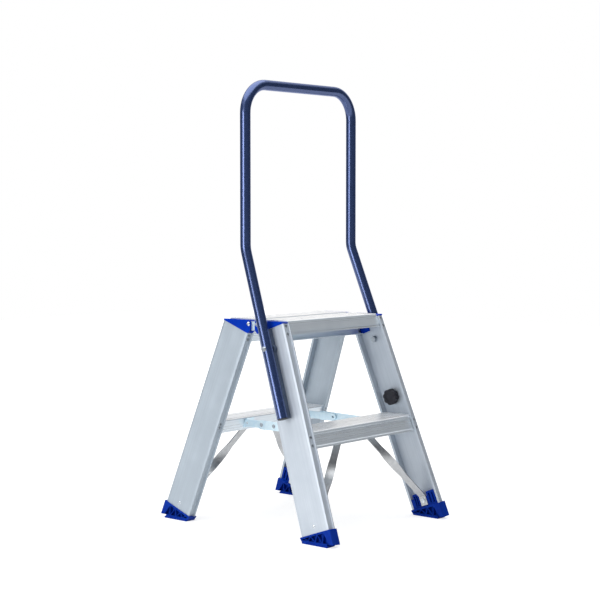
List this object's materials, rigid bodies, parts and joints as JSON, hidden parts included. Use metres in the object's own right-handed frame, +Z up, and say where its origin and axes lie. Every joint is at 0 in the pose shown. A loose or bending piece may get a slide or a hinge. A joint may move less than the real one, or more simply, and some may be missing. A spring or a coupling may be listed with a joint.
{
  "type": "double-sided step ladder",
  "caption": "Folding double-sided step ladder of aluminium channel with ribbed treads, blue plastic feet and caps, folding spreaders and a bent tube hand bow held by star knobs.",
  "frame": {"origin": "on the floor, in the middle of the four feet", "axes": "+X along the treads to the right, +Y from the section with the hand bow to the plain section, +Z up"},
  "size_m": [0.4768, 0.554, 1.068],
  "materials": {
    "aluminium_extrusion": "mill-finish extrusion, satin",
    "blue_plastic": "moulded, fine satin",
    "zinc_plated_steel": "zinc plated, satin",
    "navy_paint": "gloss powder coat",
    "black_plastic": "moulded, satin",
    "aluminium_rivet": "dull blind rivet",
    "bright_steel": "bright zinc"
  },
  "bodies": {
    "front_frame": {"front_left_stile": "aluminium_extrusion", "front_right_stile": "aluminium_extrusion", "front_top_tread": "aluminium_extrusion", "front_lower_tread": "aluminium_extrusion", "front_left_foot": "blue_plastic", "front_right_foot": "blue_plastic", "front_left_cap": "blue_plastic", "front_right_cap": "blue_plastic", "front_left_brace": "zinc_plated_steel", "front_right_brace": "zinc_plated_steel", "front_tread_rivets": "aluminium_rivet", "front_foot_rivets": "bright_steel", "front_brace_rivets": "bright_steel", "front_left_bracket": "zinc_plated_steel", "front_right_bracket": "zinc_plated_steel", "front_bracket_rivets": "bright_steel", "front_pivot_rivets": "bright_steel", "front_hinge_pins": "bright_steel", "hand_bow": "navy_paint", "bow_end_plugs": "black_plastic", "bow_spacers": "black_plastic", "bow_bolts": "bright_steel", "bow_washers": "bright_steel", "bow_nuts": "bright_steel", "bow_inserts": "bright_steel"},
    "hinge_links": {"left_hinge_link": "zinc_plated_steel", "right_hinge_link": "zinc_plated_steel"},
    "rear_frame": {"rear_left_stile": "aluminium_extrusion", "rear_right_stile": "aluminium_extrusion", "rear_top_tread": "aluminium_extrusion", "rear_lower_tread": "aluminium_extrusion", "rear_left_foot": "blue_plastic", "rear_right_foot": "blue_plastic", "rear_left_cap": "blue_plastic", "rear_right_cap": "blue_plastic", "rear_left_brace": "zinc_plated_steel", "rear_right_brace": "zinc_plated_steel", "rear_tread_rivets": "aluminium_rivet", "rear_foot_rivets": "bright_steel", "rear_brace_rivets": "bright_steel", "rear_left_bracket": "zinc_plated_steel", "rear_right_bracket": "zinc_plated_steel", "rear_bracket_rivets": "bright_steel", "rear_pivot_rivets": "bright_steel", "rear_hinge_pins": "bright_steel"},
    "front_left_link": {"front_left_arm": "zinc_plated_steel", "left_arm_rivets": "bright_steel"},
    "front_right_link": {"front_right_arm": "zinc_plated_steel", "right_arm_rivets": "bright_steel"},
    "rear_left_link": {"rear_left_arm": "zinc_plated_steel"},
    "rear_right_link": {"rear_right_arm": "zinc_plated_steel"},
    "left_star_knob": {"left_knob": "black_plastic", "left_knob_stud": "bright_steel"},
    "right_star_knob": {"right_knob": "black_plastic", "right_knob_stud": "bright_steel"}
  },
  "joints": [
    {"name": "fold", "type": "hinge", "parent": "front_frame", "child": "hinge_links", "pos_m": [0, -0.0136, 0.49], "axis": [-1, 0, 0], "range_deg": [0, 18.5]},
    {"name": "rear_fold", "type": "hinge", "parent": "hinge_links", "child": "rear_frame", "pos_m": [0, 0.0136, 0.49], "axis": [-1, 0, 0], "range_deg": [0, 18.5]},
    {"name": "front_left_spread", "type": "hinge", "parent": "front_frame", "child": "front_left_link", "pos_m": [-0.112, -0.09018, 0.239], "axis": [1, 0, 0], "range_deg": [0, 67.33]},
    {"name": "rear_left_spread", "type": "hinge", "parent": "rear_frame", "child": "rear_left_link", "pos_m": [-0.112, 0.09018, 0.239], "axis": [-1, 0, 0], "range_deg": [0, 67.33]},
    {"name": "left_knob_turn", "type": "hinge", "parent": "front_frame", "child": "left_star_knob", "pos_m": [-0.20248, -0.12158, 0.29302], "axis": [0.9973, 0, -0.0732], "continuous": true},
    {"name": "front_right_spread", "type": "hinge", "parent": "front_frame", "child": "front_right_link", "pos_m": [0.112, -0.09018, 0.239], "axis": [1, 0, 0], "range_deg": [0, 67.33]},
    {"name": "rear_right_spread", "type": "hinge", "parent": "rear_frame", "child": "rear_right_link", "pos_m": [0.112, 0.09018, 0.239], "axis": [-1, 0, 0], "range_deg": [0, 67.33]},
    {"name": "right_knob_turn", "type": "hinge", "parent": "front_frame", "child": "right_star_knob", "pos_m": [0.20248, -0.12158, 0.29302], "axis": [-0.9973, 0, -0.0732], "continuous": true}
  ],
  "couplings": [
    {"joint": "rear_fold", "follows": "fold", "ratio": 1},
    {"joint": "front_left_spread", "follows": "fold", "ratio": 3.6389},
    {"joint": "rear_left_spread", "follows": "fold", "ratio": 3.6389},
    {"joint": "front_right_spread", "follows": "fold", "ratio": 3.6389},
    {"joint": "rear_right_spread", "follows": "fold", "ratio": 3.6389}
  ]
}
